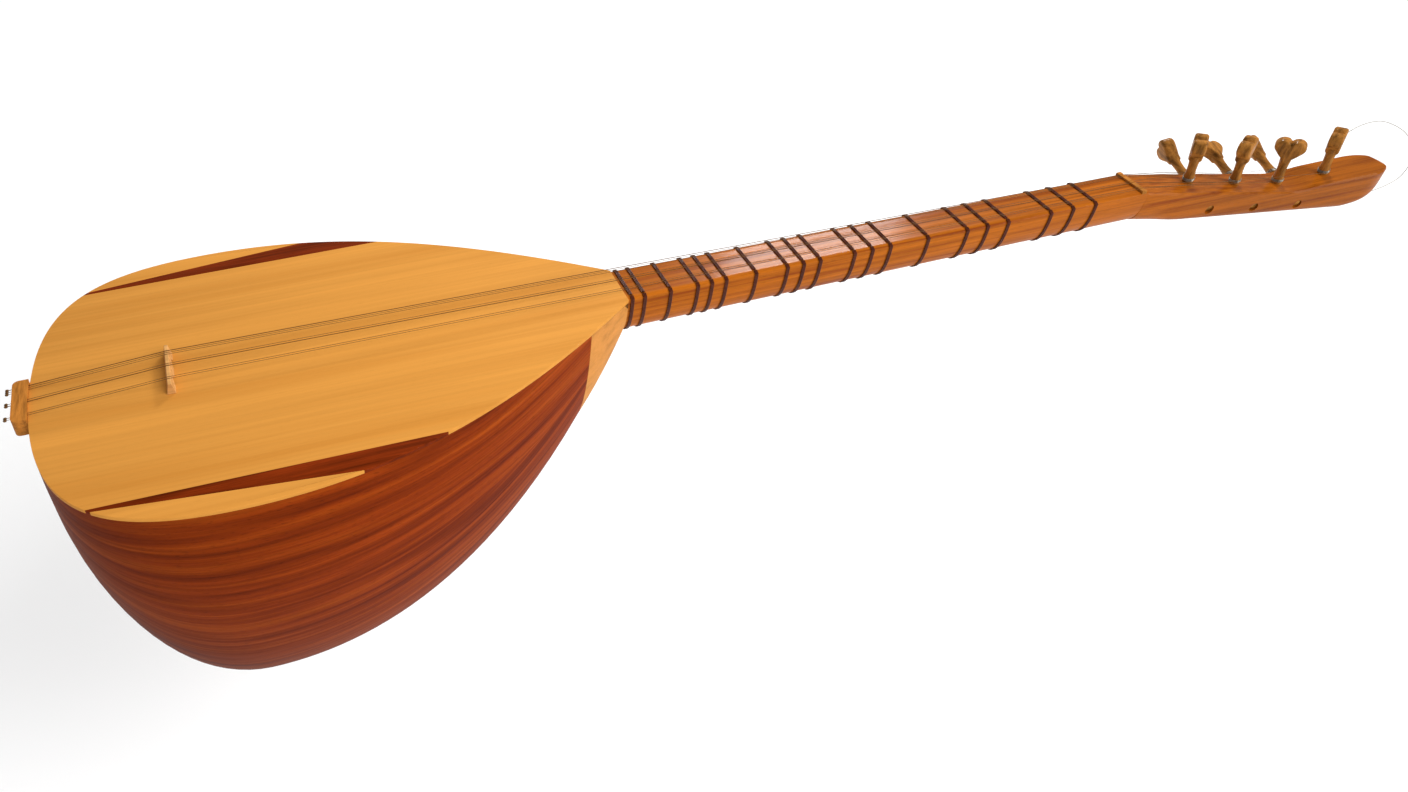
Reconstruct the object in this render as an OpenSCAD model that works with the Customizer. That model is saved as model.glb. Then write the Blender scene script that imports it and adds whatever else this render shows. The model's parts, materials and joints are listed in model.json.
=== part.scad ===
// Short-necked baglama (saz): seven strings in three courses, a stave-built bowl, tied frets.
// X runs along the strings towards the head, Y across, Z out of the soundboard.
// The origin is the hanger cradle's seat, under the neck below the nut.

/* [Strings and scale] */
// Sounding length, from the nut to the bridge
scale_len = 740; // [620:1:880]
// Diameter of the plain strings
plain_d = 0.3; // [0.2:0.01:0.5]
// Diameter of the wound strings
wound_d = 0.5; // [0.3:0.01:0.8]
// Height of the strings over the soundboard at the bridge
string_lift = 8; // [6:0.5:14]
// Height of the strings over the neck at the nut
nut_lift = 1.3; // [1:0.1:2.5]

/* [Neck] */
// Nut to the body joint
neck_len = 423; // [340:1:520]
// Width of the neck at the nut
neck_w_nut = 29.5; // [24:0.5:34]
// Width of the neck at the body
neck_w_body = 34; // [28:0.5:40]
// Depth of the neck at the nut
neck_d_nut = 31; // [24:0.5:36]
// Depth of the neck at the body
neck_d_body = 36; // [28:0.5:42]

/* [Body] */
// Length of the soundboard, from the neck joint to the tail
body_len = 408; // [330:1:500]
// Greatest width of the soundboard
body_w = 254; // [210:1:310]
// Depth of the bowl, with the soundboard
body_d = 290; // [200:1:350]
// Thickness of the soundboard
board_th = 3; // [2:0.1:5]
// Thickness of the staves
stave_th = 3; // [2:0.1:5]
// Number of staves, an odd number
staves = 9; // [9:1:9]
// Half width of the soundboard's centre plate
plate_half = 104; // [90:0.5:116]
// Length of the pale neck block that shows between the staves and the neck
block_show = 37; // [20:1:60]

/* [Head] */
// Length of the head beyond the neck
head_len = 252; // [200:1:300]
// Width of the head
head_w = 31; // [27:0.5:38]
// Backward slope of the head's face, in degrees
face_slope = 10.9; // [6:0.1:14]
// Slope of the head's back, in degrees
back_slope = 7.6; // [4:0.1:10]

/* [Pegs] */
// Diameter of a peg's shaft
peg_d = 7.5; // [6:0.1:9]
// Clearance round a shaft in its bore
peg_gap = 0.05; // [0.02:0.01:0.1]
// Height of a peg's paddle over the head
peg_stem = 24; // [19:0.5:30]
// Lean of the front pegs towards the body, in degrees
peg_lean = 8; // [0:1:12]
// Lean of the side pegs towards the head's tip, in degrees
side_lean = 9; // [0:1:12]
// Lift of the side pegs towards the face, in degrees
side_lift = 14; // [0:1:15]

/* [Frets] */
// Width of a tied fret, three turns of nylon
fret_w = 2.7; // [1.8:0.1:4]
// Diameter of the nylon
fret_d = 0.9; // [0.6:0.05:1.2]

/* [Hidden] */
FRET_CENTS = [100, 150, 200, 300, 350, 400, 500, 600, 650, 700, 800, 850, 900, 1000,
    1100, 1150, 1200, 1300, 1400, 1450];
frets = len(FRET_CENTS);
FRETS = [for (i = [1 : frets]) str("fret_", i < 10 ? "0" : "", i)];
STAVES = [for (i = [1 : staves]) str("bowl_stave_", i)];
PEGS = ["front_peg_1", "front_peg_2", "front_peg_3", "front_peg_4",
    "side_peg_1", "side_peg_2", "side_peg_3"];
STRINGS = [for (i = [1 : 7]) str("string_", i)];

SPRUCE = "#dd9f4c";
BOWL = "#8b3a0e";
DARK = "#6e2a0a";
NECK = "#b8651b";
PALE = "#e0b070";
PEG = "#a07030";
NYLON = "#5a2a10";
STEEL = "#b8b4ac";
BRASS = "#b08850";

big = 1000;
board_z = neck_d_nut;             // height of the soundboard over the origin
tail_x = -neck_len - body_len;
bridge_x = -scale_len;
half_w = body_w / 2;

// Plan of the soundboard and profile of the keel, as distance from the tail and size
PLAN_TAIL = [[0, 0], [0, 0.78 * half_w], [0.1 * body_len, half_w], [0.314 * body_len, half_w]];
PLAN_NECK = [[0.314 * body_len, half_w], [0.545 * body_len, half_w],
    [0.75 * body_len, 0.715 * half_w], [body_len, neck_w_body / 2 + 0.6]];
KEEL_TAIL = [[0, 0.33 * body_d], [0.03 * body_len, 0.52 * body_d],
    [0.11 * body_len, body_d], [0.29 * body_len, body_d]];
KEEL_NECK = [[0.29 * body_len, body_d], [0.515 * body_len, body_d],
    [0.81 * body_len, 0.795 * body_d], [body_len, neck_d_body]];

function bezier(p, s) = pow(1 - s, 3) * p[0] + 3 * s * pow(1 - s, 2) * p[1]
    + 3 * s * s * (1 - s) * p[2] + pow(s, 3) * p[3];
function find(p, t, lo = 0, hi = 1, n = 30) = let (m = (lo + hi) / 2)
    n == 0 ? m : bezier(p, m)[0] > t ? find(p, t, lo, m, n - 1) : find(p, t, m, hi, n - 1);
function read(a, b, t) = let (p = t < a[3][0] ? a : b) bezier(p, find(p, t))[1];
function half_at(t) = read(PLAN_TAIL, PLAN_NECK, t);
function keel_at(t) = read(KEEL_TAIL, KEEL_NECK, t);
function mix(a, b, s) = a + (b - a) * s;
function pw(v, e) = sign(v) * pow(abs(v), e);

// A bowl section's point at angle a: 0 is the near edge, 90 the keel, 180 the far edge
bowl_round = 0.92;
function skin(x, w, d, a) = [tail_x + x, -w * pw(cos(a), bowl_round),
    -board_th - (d - board_th) * pw(sin(a), bowl_round)];
stave_end = body_len - block_show;
tail_flat = 1.5;                  // the staves stop this far short of the tail
function outer(t, a) = skin(t, half_at(t), keel_at(t), a);
function inner(t, a) = skin(t + stave_th * (1 - t / stave_end), half_at(t) - stave_th,
    keel_at(t) - stave_th, a);
stations = 18;
function station(j) = tail_flat + (stave_end - tail_flat) * pow(j / stations, 1.4);
across = 3;                       // facets across one stave
stave_angle = 180 / staves;
full = [for (k = [0 : across * staves]) k * stave_angle / across];

// A closed solid through rings that each hold the same number of points. Its quads are split
// along one diagonal, or along the other when it lies inside a shell that runs its inner ring back
module loft(rings, inside = false) {
    n = len(rings[0]);
    last = (len(rings) - 1) * n;
    polyhedron(
        points = [for (r = rings) each r],
        faces = concat(
            [[for (k = [0 : n - 1]) k]],
            [for (j = [0 : len(rings) - 2], k = [0 : n - 1]) let (a = j * n + k,
                b = j * n + (k + 1) % n) each inside ? [[a, a + n, b], [b, a + n, b + n]]
                : [[a, a + n, b + n], [a, b + n, b]]],
            [[for (k = [n - 1 : -1 : 0]) last + k]]),
        convexity = 4);
}

module on_board() translate([0, 0, board_z]) children();

// ---- bowl ----
module bowl_stave(i) {
    angles = [for (k = [0 : across]) (i + k / across) * stave_angle];
    on_board() color(BOWL) loft([for (j = [0 : stations]) concat(
        [for (a = angles) outer(station(j), a)],
        [for (k = [across : -1 : 0]) inner(station(j), angles[k])])]);
}

cap_th = 1.2;
module tail_cap() on_board() color(DARK)
    loft([for (t = [tail_flat - cap_th, tail_flat - cap_th / 2, tail_flat])
        [for (a = full) outer(t, a)]]);

// The blocks' skin, a glue line inside the staves: in from the tail, and back from the neck
glue = 0.1;
function lining(t, a) = skin(t + stave_th * (1 - t / stave_end) + glue * (1 - 2 * t / stave_end),
    half_at(t) - stave_th - glue, keel_at(t) - stave_th - glue, a);
tail_block_depth = 0.27 * body_d;
module tail_block() on_board() color(PALE) intersection() {
    loft(concat([[for (a = full) let (p = lining(tail_flat, a)) [tail_x + tail_flat, p[1], p[2]]]],
        [for (j = [0 : 2]) [for (a = full) lining(station(j), a)]]), inside = true);
    translate([tail_x - big, -big, -board_th - tail_block_depth])
        cube([2 * big, 2 * big, tail_block_depth]);
}

// ---- neck block, with the mortise for the neck's tenon ----
tenon_len = 30;
tenon_w = 13;
tenon_d = 24;
tenon_drop = 5;                   // the tenon starts this far below the soundboard's top
neck_round = 0.71;
function blend_ring(s) = let (t = mix(stave_end, body_len, s), w = half_at(t), d = keel_at(t),
    e = mix(bowl_round, neck_round, s)) [for (a = full) [tail_x + t, -w * pw(cos(a), e),
        -board_th - (d - board_th) * pw(sin(a), e)]];
module neck_block() on_board() color(PALE) difference() {
    union() {
        loft([for (s = [0 : 0.2 : 1]) blend_ring(s)]);
        loft(concat([for (j = [stations - 1 : stations]) [for (a = full) lining(station(j), a)]],
            [[for (a = full) lining(stave_end, a) + [1, 0, 0]]]), inside = true);
    }
    translate([-neck_len - tenon_len - glue, -tenon_w / 2 - glue, -tenon_d - tenon_drop - glue])
        cube([tenon_len + 1, tenon_w + 2 * glue, tenon_d + 2 * glue]);
}

// ---- soundboard ----
edge_steps = 14;
function plan_side(y) = concat(
    [for (i = [0 : edge_steps]) let (p = bezier(PLAN_TAIL, i / edge_steps))
        [tail_x + p[0], y * p[1]]],
    [for (i = [1 : edge_steps]) let (p = bezier(PLAN_NECK, i / edge_steps))
        [tail_x + p[0], y * p[1]]]);
plan = concat(plan_side(-1), [for (i = [2 * edge_steps : -1 : 1]) plan_side(1)[i]]);
module board_sheet() on_board() translate([0, 0, -board_th]) linear_extrude(board_th)
    intersection() {
        polygon(plan);
        children();
    }
// The wedge lies between the centre plate's straight edge and the sliver's
wedge_start = 2.4;                // width of the wedge near the tail
sliver_from = [0.1 * body_len, plate_half + wedge_start];
sliver_to = [0.485 * body_len, half_at(0.485 * body_len)];
function sliver_line(t) = mix(sliver_from[1], sliver_to[1],
    (t - sliver_from[0]) / (sliver_to[0] - sliver_from[0]));
module soundboard_plate() color(SPRUCE) board_sheet()
    translate([tail_x - 1, -plate_half]) square([body_len + 2, 2 * plate_half]);
wedge_from = sliver_from[0] + (plate_half - sliver_from[1])
    * (sliver_to[0] - sliver_from[0]) / (sliver_to[1] - sliver_from[1]);
module wedge(side) color(DARK) board_sheet() polygon([[tail_x + wedge_from, side * plate_half],
    [tail_x + body_len, side * sliver_line(body_len)], [tail_x + body_len, side * plate_half]]);
module sliver(side) color(SPRUCE) board_sheet() polygon([
    [tail_x + wedge_from, side * plate_half], [tail_x + body_len, side * sliver_line(body_len)],
    [tail_x + body_len, side * body_w], [tail_x + wedge_from, side * body_w]]);

brace_t = 0.61 * body_len;
brace_h = 14;
brace_th = 7;
brace_crest = 3;                  // width of its narrow lower edge
brace_inset = 4;                  // its ends stop this far inside the staves
brace_cut = 9;                    // size of the chamfer at each end
module soundboard_brace() on_board() color(SPRUCE) difference() {
    half = half_at(brace_t) - stave_th - brace_inset;
    translate([tail_x + brace_t, 0, -board_th]) rotate([90, 0, 0])
        translate([0, 0, -half]) linear_extrude(2 * half)
            polygon([[-brace_th / 2, 0], [-brace_th / 2, -brace_h + brace_crest],
                [-brace_crest / 2, -brace_h], [brace_crest / 2, -brace_h],
                [brace_th / 2, -brace_h + brace_crest], [brace_th / 2, 0]]);
    for (side = [-1, 1]) translate([tail_x + brace_t, side * half, -board_th - brace_h])
        rotate([45, 0, 0]) cube([2 * brace_th, brace_cut, brace_cut], center = true);
}

// ---- neck ----
nut_len = 4;
nut_seat = 2.5;                   // how deep the nut stands in the neck
neck_over = 6;                    // the neck runs this far past the nut's front
neck_facets = 20;
function neck_part(x) = -x / neck_len;
function neck_w(x) = mix(neck_w_nut, neck_w_body, neck_part(x));
function neck_d(x) = mix(neck_d_nut, neck_d_body, neck_part(x));
function u_shape(w, d, grow = 0) = [for (k = [0 : neck_facets]) let (a = 180 * k / neck_facets)
    [-(w / 2 + grow) * pw(cos(a), neck_round), -(d + grow) * pw(sin(a), neck_round)]];
function neck_ring(x) = [for (p = u_shape(neck_w(x), neck_d(x))) [x, p[0], p[1]]];
module neck() on_board() color(NECK) difference() {
    union() {
        loft([neck_ring(-neck_len), neck_ring(neck_over)]);
        translate([-neck_len - tenon_len, -tenon_w / 2, -tenon_d - tenon_drop])
            cube([tenon_len + 1, tenon_w, tenon_d]);
    }
    translate([0, -big / 2, -nut_seat]) cube([nut_len, big, big]);
}

// ---- head ----
head_top = -1.2;                  // the face starts this much below the neck's top
level_x = 0.62 * head_len;        // the face levels out here
function face_z(x) = head_top - tan(face_slope) * (min(x, level_x) - neck_over);
back_drop = 0.5;                  // the head is this much deeper than the neck where they meet
function back_z(x) = -neck_d_nut - back_drop - tan(back_slope) * (x - neck_over);
head_end = neck_over + head_len;
tip_r = 40;                       // the back curves up over this length
tip_rise = 14;                    // and by this much, to the tip's nose
nose = 8;                         // height of the blunt nose
crest = 2;                        // rise of the face at the tip
widen_len = 34;                   // the head widens over this length
point_len = 26;                   // and rounds off over this length at the tip
module head_side() polygon(concat(
    [[neck_over, face_z(neck_over)], [neck_over, back_z(neck_over)],
        [head_end - tip_r, back_z(head_end - tip_r)]],
    [for (a = [15 : 15 : 75]) [head_end - tip_r + 0.9 * tip_r * sin(a),
        back_z(head_end - tip_r) + tip_rise * (1 - cos(a))]],
    [[head_end - 1, face_z(head_end) - nose], [head_end, face_z(head_end) + crest / 4],
        [head_end - 4, face_z(head_end) + crest], [level_x + 32, face_z(level_x) + crest / 2],
        [level_x + 14, face_z(level_x) - 0.3 * crest], [level_x, face_z(level_x)]]));
module head_plan() polygon(concat(
    [for (a = [90 : -15 : -90]) [head_end - point_len * (1 - cos(a)),
        head_w / 2 * pw(sin(a), 0.8)]],
    [[neck_over + widen_len, -head_w / 2], [neck_over, -neck_w_nut / 2],
        [neck_over, neck_w_nut / 2], [neck_over + widen_len, head_w / 2]]));
// The back's rounded edges run along its slope and leave a flat strip between them
trough_h = 14;                    // height of the rounded edges
trough_drop = 0.4;                // how far the curve runs below the flat
trough_steps = 14;
module head_trough() translate([neck_over, 0, back_z(neck_over)]) rotate([0, back_slope, 0])
    rotate([90, 0, 90]) translate([0, -trough_drop, -head_w]) linear_extrude(head_len + 3 * head_w)
        polygon(concat([[head_w, 4 * trough_h]], [for (k = [0 : trough_steps])
            let (a = 180 * k / trough_steps) [head_w / 2 * pw(cos(a), 0.45) * 1.001,
                trough_h - trough_h * pw(sin(a), 0.45)]], [[-head_w, 4 * trough_h]]));
module peghead() on_board() color(NECK) difference() {
    intersection() {
        rotate([90, 0, 0]) translate([0, 0, -big / 2]) linear_extrude(big) head_side();
        translate([0, 0, -big / 2]) linear_extrude(big) head_plan();
        head_trough();
    }
    for (i = [0 : 3]) at_front(i) bore();
    for (i = [0 : 2]) at_side(i) bore();
}
module bore() translate([0, 0, -2 * head_w])
    cylinder(d = peg_d + 2 * peg_gap, h = 4 * head_w, $fn = 48);

// ---- pegs ----
peg_pitch = 46;
front_x = [for (i = [0 : 3]) neck_over + 55.5 + i * peg_pitch];
front_y = [2.5, 0, 0, 0];
front_turn = [44, 30, -50, 33];
side_x = [for (i = [0 : 2]) neck_over + 68.5 + i * peg_pitch];
side_turn = [70, 15, 60];
tip_sink = 0.6;                   // the tips end this much inside the head
side_low = 2.5;                   // the side pegs' tips lie this far below the middle of the side
function side_z(x) = (face_z(x) + back_z(x)) / 2 - side_low;
side_axis = [sin(side_lean) * cos(side_lift), cos(side_lean) * cos(side_lift), sin(side_lift)];
side_run = head_w / side_axis[1]; // length of a side peg's bore
function side_foot(i) = [side_x[i], -head_w / 2, side_z(side_x[i])] + side_run * side_axis;
module at_front(i) translate([front_x[i], front_y[i], face_z(front_x[i])])
    rotate([0, -peg_lean, 0]) children();
module at_side(i) translate(side_foot(i)) rotate([side_lift, 0, -side_lean])
    rotate([-90, 0, 0]) children();
wind_h = 3;
wind_from = 2.5;                  // the winding starts this far over the head
wind_r = peg_d / 2 + 0.45;
wind_fit = 0.05;                  // clearance of the winding round the shaft
paddle_th = 9.5;
paddle_lobe = 5.9;                // radius of its two lobes
lobe_y = 4.6;                     // their distance from the middle
lobe_z = 11.8;                    // their height over the paddle's foot
flare = 10;                       // the stem widens into the paddle over this length
flare_r = 4.6;
// z = 0 is the head's surface; the shaft goes down by depth
module peg(depth, turn) color(PEG) rotate([0, 0, turn]) {
    translate([0, 0, -depth]) cylinder(d = peg_d, h = depth + peg_stem + 3, $fn = 48);
    translate([0, 0, peg_stem - 0.8 * flare])
        cylinder(r1 = peg_d / 2, r2 = flare_r, h = flare, $fn = 48);
    translate([0, 0, peg_stem]) rotate([90, 0, 0]) translate([0, 0, -paddle_th / 2])
        linear_extrude(paddle_th) {
            polygon([[-peg_d / 2, -2], [peg_d / 2, -2], [lobe_y + 0.75 * paddle_lobe, 0.65 * lobe_z],
                [lobe_y, lobe_z + 2], [0, lobe_z + 0.55 * paddle_lobe], [-lobe_y, lobe_z + 2],
                [-lobe_y - 0.75 * paddle_lobe, 0.65 * lobe_z]]);
            for (s = [-1, 1]) translate([s * lobe_y, lobe_z]) circle(r = paddle_lobe, $fn = 48);
        }
}
module winding() color(STEEL) translate([0, 0, wind_from]) difference() {
    cylinder(r = wind_r, h = wind_h, $fn = 48);
    translate([0, 0, -1]) cylinder(d = peg_d + 2 * wind_fit, h = wind_h + 2, $fn = 48);
}
// Depth at which a leaning shaft's whole tip is still inside the head's back
function front_depth(i) = (face_z(front_x[i]) - back_z(front_x[i]))
    / (cos(peg_lean) - tan(back_slope) * sin(peg_lean))
    - peg_d / 2 * tan(peg_lean + back_slope) - tip_sink;
module front_peg(i) on_board() at_front(i) {
    peg(front_depth(i), front_turn[i]);
    winding();
}
side_depth = side_run - peg_d / 2 * tan(acos(side_axis[1])) - tip_sink;
module side_peg(i) on_board() at_side(i) {
    peg(side_depth, side_turn[i]);
    winding();
}

// ---- strings: near pair, middle pair, far three ----
nut_y = [-10, -8, -1, 1, 8, 9.5, 11];
bridge_y = [-14, -12.2, -1, 1, 10.4, 12.2, 14];
tail_y = [-14, -12.2, -1, 1, 10.6, 12.6, 14.6];
gauge = [plain_d, plain_d, wound_d, plain_d, plain_d, plain_d, wound_d];
to_peg = [3, 2, 1, 0, 6, 5, 4];
slot_gap = 0.15;
string_z = string_lift + 0.4;
hook_x = tail_x - 12.5;
hook_z = 0.3;
seat = wind_r + 0.35;
function front_end(i, y) = let (h = wind_from + wind_h / 2) [front_x[i] - h * sin(peg_lean),
    front_y[i] + y * (seat + 0.25), face_z(front_x[i]) + h * cos(peg_lean)];
// A side string meets the top of its peg's winding
side_up = unit([0, 0, 1] - side_axis[2] * side_axis);
function side_end(i) = side_foot(i) + (wind_from + wind_h / 2) * side_axis
    + (seat + 0.25) * side_up;
edge_back = 25;                   // and goes over the head's edge this far before the peg
function over_edge(i) = let (x = side_x[i] - edge_back) [x, head_w / 2 + 0.5, face_z(x) + 0.6];
function route(i) = concat(
    [[hook_x, tail_y[i], hook_z], [bridge_x, bridge_y[i], string_z],
        [nut_len / 2, nut_y[i], nut_lift]],
    to_peg[i] < 4 ? [front_end(to_peg[i], nut_y[i] < 0 ? -1 : 1)]
        : [over_edge(to_peg[i] - 4), side_end(to_peg[i] - 4)]);
function unit(v) = v / norm(v);
// Rings round a path's points, each of its own radius
function tube_ring(p, j, r) = let (n = len(p), v = unit(p[min(j + 1, n - 1)] - p[max(j - 1, 0)]),
    u = unit(cross(v, [0, 1, 0.01])), w = cross(v, u))
    [for (k = [0 : 7]) p[j] + r * (cos(45 * k) * u + sin(45 * k) * w)];
module tube(p, radii) loft([for (j = [0 : len(p) - 1]) tube_ring(p, j, radii[j])]);
knot_r = 0.9;
knot_l = 2.4;
module string(i) on_board() color(gauge[i] == plain_d ? STEEL : BRASS) {
    p = route(i);
    back = unit(p[0] - p[1]);
    r = gauge[i] / 2;
    tube(concat([p[0] + back * knot_l, p[0] + back * (knot_l - 0.6), p[0] + back * 0.6], p),
        concat([0.5, knot_r, knot_r], [for (k = [0 : len(p) - 1]) r]));
}

// ---- nut, bridge and tailpiece ----
module nut() on_board() color(PALE) difference() {
    translate([0, -neck_w_nut / 2 + 0.4, -nut_seat])
        cube([nut_len, neck_w_nut - 0.8, nut_seat + nut_lift + 0.5]);
    for (i = [0 : 6]) translate([-1, nut_y[i], nut_lift]) {
        d = gauge[i] + 2 * slot_gap;
        translate([0, -d / 2, -d / 2]) cube([nut_len + 2, d, 5]);
    }
}

bridge_len = 40;
bridge_foot = 6;
bridge_top = 2.4;
arch_r = 4.2;
module bridge() on_board() color(PALE) difference() {
    translate([bridge_x, 0, 0]) rotate([90, 0, 0]) translate([0, 0, -bridge_len / 2])
        linear_extrude(bridge_len) polygon([[-bridge_foot / 2, 0], [bridge_foot / 2, 0],
            [bridge_top / 2, string_z + 0.3], [-bridge_top / 2, string_z + 0.3]]);
    for (s = [-1, 1]) translate([bridge_x, s * bridge_len / 4.6, -1]) rotate([0, 90, 0])
        cylinder(r = arch_r, h = 2 * bridge_foot, center = true, $fn = 48);
    for (i = [0 : 6]) translate([bridge_x - bridge_foot, bridge_y[i], string_z]) {
        d = gauge[i] + 4 * slot_gap;
        translate([0, -d / 2, -d / 2]) cube([2 * bridge_foot, d, 5]);
    }
}

tailpiece_w = 39;
tailpiece_out = 10;
tailpiece_h = 13;
tailpiece_top = 2.8;
tailpiece_corner = 4;
string_hole = 1;                  // the strings' holes are this much wider than the strings
module hole_through(a, b, d) let (v = b - a, l = norm(v)) translate(a)
    rotate([0, acos(v[2] / l), atan2(v[1], v[0])]) cylinder(d = d, h = l, $fn = 24);
module tailpiece() on_board() color(PALE) difference() {
    translate([0, 0, tailpiece_top - tailpiece_h]) linear_extrude(tailpiece_h) difference() {
        intersection() {
            translate([tail_x - tailpiece_out, -tailpiece_w / 2])
                square([2 * tailpiece_out, tailpiece_w]);
            translate([tail_x - tailpiece_out + tailpiece_corner, 0]) union() {
                for (s = [-1, 1]) translate([0, s * (tailpiece_w / 2 - tailpiece_corner)])
                    circle(r = tailpiece_corner, $fn = 48);
                translate([-tailpiece_corner, tailpiece_corner - tailpiece_w / 2])
                    square([big, tailpiece_w - 2 * tailpiece_corner]);
                translate([0, -tailpiece_w / 2]) square([big, tailpiece_w]);
            }
        }
        polygon(plan);
        translate([tail_x + tail_flat - cap_th, -big / 2]) square([big, big]);
    }
    for (i = [0 : 6]) hole_through(along(i, tail_x + tailpiece_out),
        along(i, tail_x - 2 * tailpiece_out), gauge[i] + string_hole);
}
// Where a string's line from the hook to the bridge stands at x, across and up
function along(i, x) = let (s = (x - hook_x) / (bridge_x - hook_x))
    [x, mix(tail_y[i], bridge_y[i], s), mix(hook_z, string_z, s)];

// ---- frets ----
fret_gap = 0.2;
function fret_x(i) = -scale_len * (1 - pow(2, -FRET_CENTS[i] / 1200));
module fret(i) on_board() color(NYLON) {
    x = fret_x(i);
    translate([x - fret_w / 2, 0, 0]) rotate([90, 0, 90]) linear_extrude(fret_w) difference() {
        polygon(fret_ring(x, fret_gap + fret_d, fret_d + fret_gap / 2));
        polygon(fret_ring(x, fret_gap, fret_gap / 2));
    }
}
function fret_ring(x, grow, top) = concat([[-neck_w(x) / 2 - grow, top]],
    u_shape(neck_w(x), neck_d(x), grow), [[neck_w(x) / 2 + grow, top]]);

// ---- loose end of the last string, a springy wire ----
loose_d = 0.5;
LOOSE = [[199, 4.2, -20], [202, 6.5, -13], [211, 8, -2], [224, 8, 6], [243, 8, 7], [262, 7, 0],
    [280, 6, -11], [293, 4, -25], [298, 2, -39], [293, 0, -51], [281, -1, -57],
    [269, -1, -60], [262, -1, -61.5]];
function spline(p, i, s) = let (a = p[max(i - 1, 0)], b = p[i], c = p[i + 1],
    d = p[min(i + 2, len(p) - 1)]) 0.5 * (2 * b + (c - a) * s
        + (2 * a - 5 * b + 4 * c - d) * s * s + (3 * b - a - 3 * c + d) * pow(s, 3));
loose_steps = 6;
loose_path = concat([for (i = [0 : len(LOOSE) - 2], k = [0 : loose_steps - 1])
    spline(LOOSE, i, k / loose_steps)], [LOOSE[len(LOOSE) - 1]]);
module loose_string_end() on_board() color(STEEL)
    tube(loose_path, [for (j = loose_path) loose_d / 2]);

for (i = [0 : staves - 1]) bowl_stave(i);
tail_cap();
tail_block();
neck_block();
soundboard_plate();
wedge(-1);  // soundboard_wedge_near
wedge(1);  // soundboard_wedge_far
sliver(-1);  // soundboard_sliver_near
sliver(1);  // soundboard_sliver_far
soundboard_brace();
neck();
peghead();
nut();
bridge();
tailpiece();
for (i = [0 : frets - 1]) fret(i);
for (i = [0 : 3]) front_peg(i);
for (i = [0 : 2]) side_peg(i);
for (i = [0 : 6]) string(i);
loose_string_end();
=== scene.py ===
"""A short-necked baglama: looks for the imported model, laid out as an add-on and run as a script."""

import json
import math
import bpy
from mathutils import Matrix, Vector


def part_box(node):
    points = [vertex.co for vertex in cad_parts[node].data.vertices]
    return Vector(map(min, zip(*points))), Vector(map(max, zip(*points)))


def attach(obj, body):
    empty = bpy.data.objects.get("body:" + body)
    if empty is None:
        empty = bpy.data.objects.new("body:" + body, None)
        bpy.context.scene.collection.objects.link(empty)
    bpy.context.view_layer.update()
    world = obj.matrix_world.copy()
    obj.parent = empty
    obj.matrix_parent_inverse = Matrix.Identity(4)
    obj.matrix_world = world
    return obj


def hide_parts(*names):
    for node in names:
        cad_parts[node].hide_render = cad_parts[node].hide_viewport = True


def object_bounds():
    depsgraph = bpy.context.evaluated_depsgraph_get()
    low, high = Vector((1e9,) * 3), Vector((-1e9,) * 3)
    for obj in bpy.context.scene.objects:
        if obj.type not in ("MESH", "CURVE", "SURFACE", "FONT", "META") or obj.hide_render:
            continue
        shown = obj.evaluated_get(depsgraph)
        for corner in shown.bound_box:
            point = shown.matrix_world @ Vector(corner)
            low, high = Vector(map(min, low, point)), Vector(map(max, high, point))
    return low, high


bl_info = {
    "name": "Baglama",
    "version": (1, 0, 0),
    "blender": (4, 5, 0),
    "location": "View3D > Sidebar > Baglama",
    "description": "Builds the looks of a short-necked baglama round its frame",
    "category": "Object",
}

import bmesh
import bpy
from bpy.props import FloatProperty, FloatVectorProperty, IntProperty, PointerProperty
from mathutils import Matrix, Vector

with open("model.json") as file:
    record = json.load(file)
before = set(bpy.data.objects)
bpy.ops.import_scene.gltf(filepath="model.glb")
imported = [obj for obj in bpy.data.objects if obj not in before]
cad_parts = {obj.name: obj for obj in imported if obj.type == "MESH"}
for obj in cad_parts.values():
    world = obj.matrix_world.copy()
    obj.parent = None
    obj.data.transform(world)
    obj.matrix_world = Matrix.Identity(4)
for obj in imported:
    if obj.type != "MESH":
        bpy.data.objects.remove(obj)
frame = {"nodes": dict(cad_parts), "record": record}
CAD_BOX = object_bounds()
MM = 0.001
# What the woods reflect is tinted warm: painted warm light
WARM_LIGHT_TINT = "ffc98c"


def linear(hex_code):
    """An sRGB hex colour as linear red, green and blue."""
    channels = [int(hex_code[i : i + 2], 16) / 255 for i in (0, 2, 4)]
    return tuple(c / 12.92 if c <= 0.04045 else ((c + 0.055) / 1.055) ** 2.4 for c in channels)


def size(default, name, description):
    """A length that a user can change."""
    return FloatProperty(name=name, description=description, default=default, unit="LENGTH")


def colour(hex_code, name, description):
    """A colour that a user can change."""
    return FloatVectorProperty(
        name=name, description=description, default=linear(hex_code),
        subtype="COLOR", size=3, min=0, max=1,
    )


class BaglamaSizes(bpy.types.PropertyGroup):
    board_round: size(0.2 * MM, "Board edge", "Rounding of the soundboard's edges")
    nylon: size(0.9 * MM, "Nylon", "Diameter of the tied frets' nylon")
    fret_turns: IntProperty(name="Turns", description="Turns of nylon in each fret", default=3)
    wind_turns: IntProperty(name="Windings", description="Turns of string on each peg", default=5)
    wind_wire: size(0.45 * MM, "Winding wire", "Diameter of the string wound on a peg")
    paddle_thick: size(9.3 * MM, "Paddle thickness", "Thickness of a peg's paddle")
    floor_drop: size(0.25, "Floor", "Height of the instrument's lowest point over the floor")


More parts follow.
